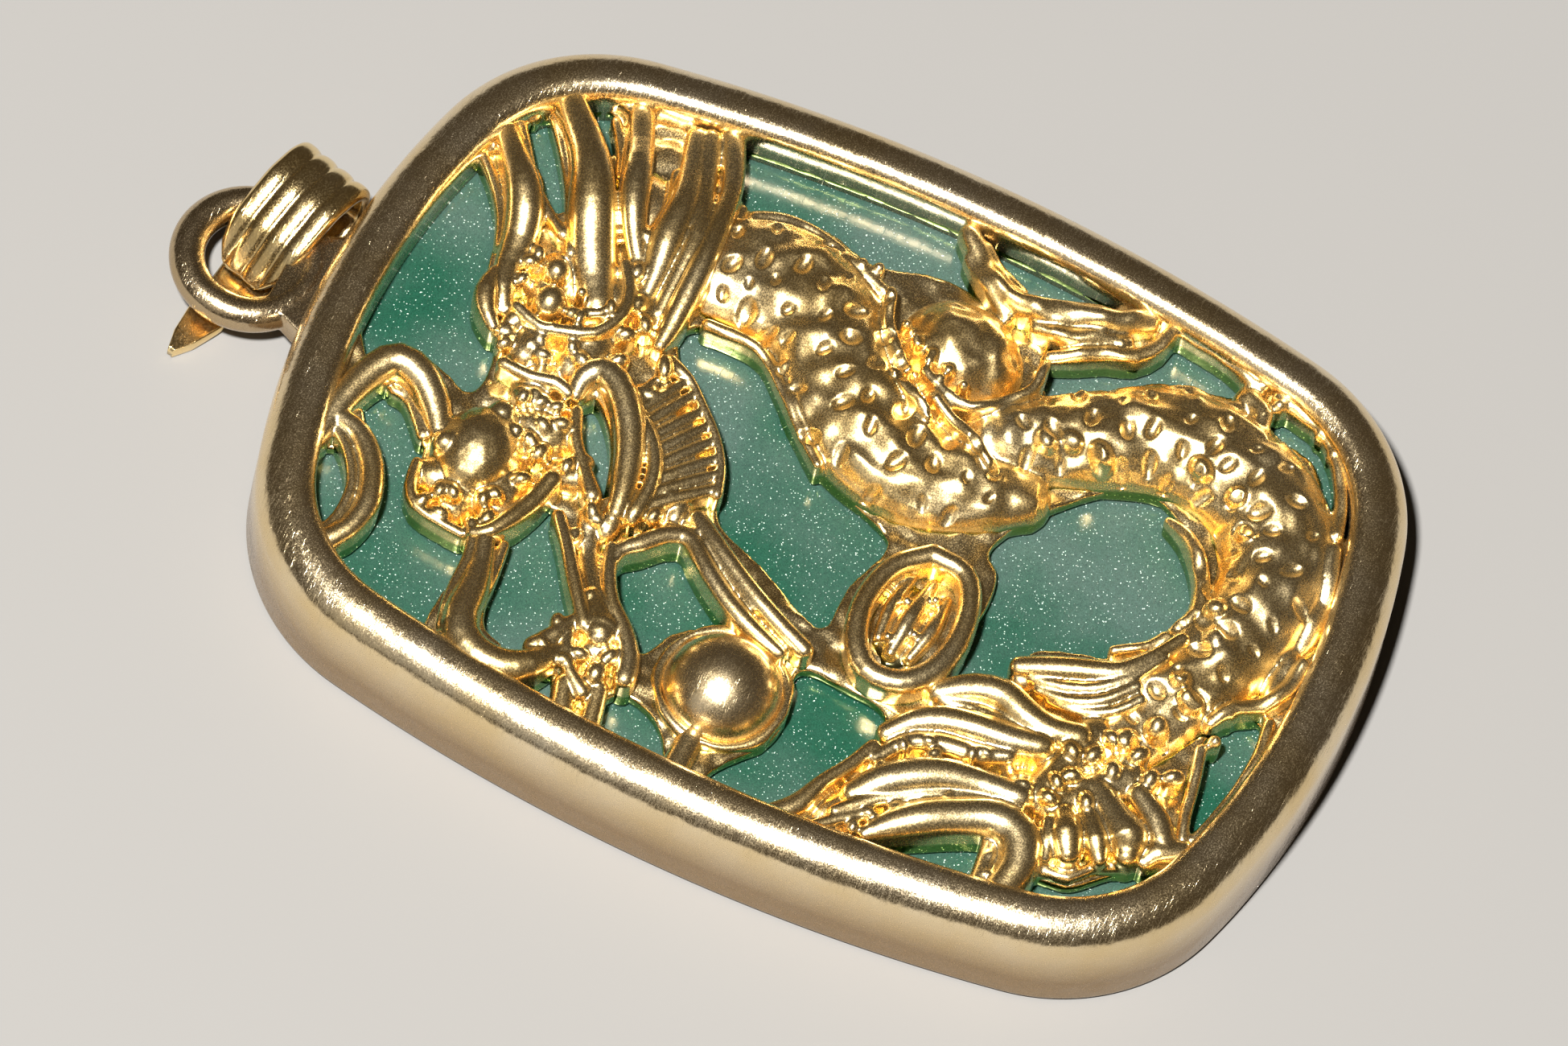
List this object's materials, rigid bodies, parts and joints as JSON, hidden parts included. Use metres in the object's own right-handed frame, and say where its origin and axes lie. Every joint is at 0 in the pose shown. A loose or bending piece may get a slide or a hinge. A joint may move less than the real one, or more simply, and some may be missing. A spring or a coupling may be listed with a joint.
{
  "type": "jade dragon pendant",
  "caption": "Barrel-shaped green jade plate in a gold-plated rim with an openwork dragon and pearl in relief, a ring on top and a folded ribbed bail.",
  "frame": {"origin": "middle of the pendant's flat back, in the plane that it lies on", "axes": "+Z out of the front, +Y towards the ring and the bail, +X to the pendant's right as seen from the front"},
  "size_m": [0.028, 0.0434, 0.0046],
  "materials": {
    "gold_casting": "yellow gold plating polished to a mirror, with fine scratches and darker hollows",
    "jade": "smooth blue-green jade with a satin polish, fine specks and a few scratches",
    "gold_bail": "yellow gold plating polished to a mirror, ribbed"
  },
  "bodies": {
    "root": {"setting": "gold_casting", "jade_plate": "jade", "bail": "gold_bail"}
  },
  "joints": []
}
